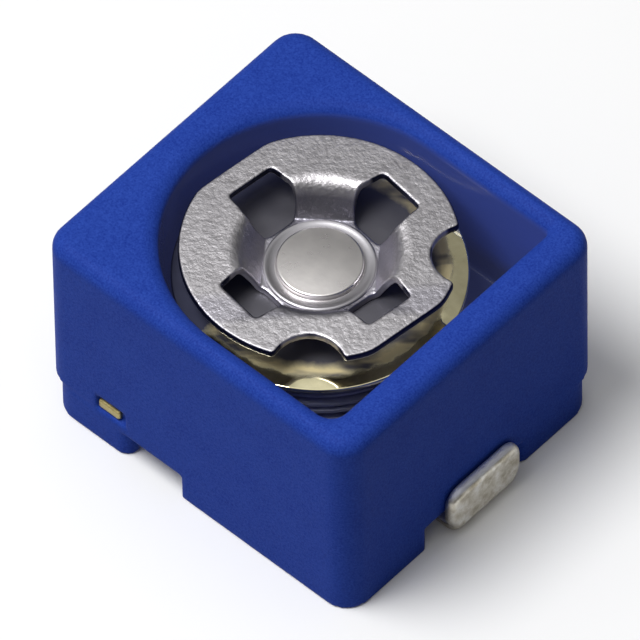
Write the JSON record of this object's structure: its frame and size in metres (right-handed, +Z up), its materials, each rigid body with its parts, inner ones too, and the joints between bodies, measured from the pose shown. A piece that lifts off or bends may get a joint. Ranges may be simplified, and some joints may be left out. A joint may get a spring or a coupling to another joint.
{
  "type": "smd trimmer capacitor",
  "caption": "Small surface-mount film trimmer capacitor with a moulded housing, a slotted driver plate that turns the rotor, and two folded solder terminals.",
  "frame": {"origin": "centre of the base on the solder plane, on the rotor's axis", "axes": "+X towards the stator terminal, +Y along the short side, +Z up along the rotor's axis, out of the open well"},
  "size_m": [0.0048, 0.0042, 0.0029],
  "materials": {
    "blue_plastic": "matte moulded",
    "tinned_metal": "satin tin plate",
    "driver_metal": "matte stamped",
    "pin_metal": "satin",
    "polished_brass": "polished",
    "brass": "satin",
    "clear_film": "clear"
  },
  "bodies": {
    "housing": {"housing": "blue_plastic", "stator_terminal": "tinned_metal", "rotor_terminal": "tinned_metal", "stator_posts": "brass", "stator_spacers": "brass", "stator_plate_1": "brass", "stator_plate_2": "brass", "stator_plate_3": "brass", "film_1": "clear_film", "film_2": "clear_film", "film_3": "clear_film", "film_4": "clear_film", "film_5": "clear_film", "film_6": "clear_film", "base_film": "clear_film"},
    "rotor": {"rotor_plate_1": "brass", "rotor_plate_2": "brass", "rotor_plate_3": "brass", "rotor_spacer_1": "brass", "rotor_spacer_2": "brass", "rotor_spacer_3": "brass", "thrust_collar": "brass", "rotor_disc": "polished_brass", "driver_plate": "driver_metal", "spindle": "pin_metal", "spring_washer": "brass", "retaining_washer": "pin_metal"}
  },
  "joints": [
    {"name": "rotor_turn", "type": "hinge", "parent": "housing", "child": "rotor", "pos_m": [0, 0, 0], "axis": [0, 0, 1], "continuous": true}
  ]
}
